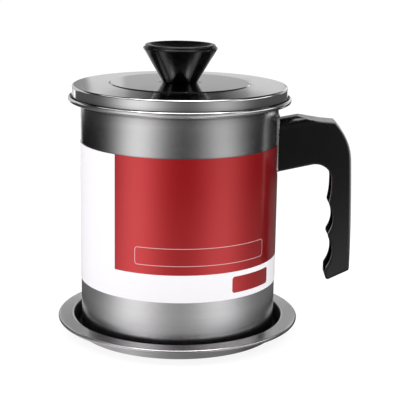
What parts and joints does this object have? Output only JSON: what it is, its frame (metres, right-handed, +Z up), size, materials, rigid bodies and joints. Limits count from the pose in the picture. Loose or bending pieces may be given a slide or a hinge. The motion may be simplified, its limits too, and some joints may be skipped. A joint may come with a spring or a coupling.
{
  "type": "bacon grease container",
  "caption": "Straight-sided coated steel pot for used cooking fat, with a side handle, inner strainer, slip-over lid with a conical knob, and a flanged drip tray.",
  "frame": {"origin": "on the pot's axis, on the plane that the drip tray stands on", "axes": "+Z up along the pot's axis, +X from the axis towards the handle, +Y to its left"},
  "size_m": [0.1804, 0.149, 0.1772],
  "materials": {
    "coated_steel": "satin grey non-stick coating",
    "bright_steel": "plain drawn stainless steel",
    "fastener_steel": "bright zinc plate",
    "printed_paper": "smooth white paper with a plain red panel",
    "satin_plastic": "satin black moulding",
    "gloss_plastic": "gloss black moulding"
  },
  "bodies": {
    "tray": {"drip_tray": "coated_steel"},
    "pot": {"pot_body": "coated_steel", "label_band": "printed_paper", "handle_bracket": "bright_steel", "handle_grip": "satin_plastic", "handle_screw": "fastener_steel", "handle_washer": "fastener_steel", "handle_nut": "fastener_steel"},
    "strainer": {"strainer_cup": "bright_steel", "strainer_mesh": "bright_steel", "mesh_ring": "bright_steel"},
    "lid": {"lid_shell": "coated_steel", "knob_cone": "gloss_plastic", "knob_insert": "gloss_plastic", "knob_screw": "fastener_steel", "knob_washer": "fastener_steel"}
  },
  "joints": [
    {"name": "pot_lift", "type": "slide", "parent": "tray", "child": "pot", "axis": [0, 0, 1], "range_m": [0, 0.04]},
    {"name": "strainer_lift", "type": "slide", "parent": "pot", "child": "strainer", "axis": [0, 0, 1], "range_m": [0, 0.06]},
    {"name": "lid_lift", "type": "slide", "parent": "strainer", "child": "lid", "axis": [0, 0, 1], "range_m": [0, 0.04]}
  ]
}
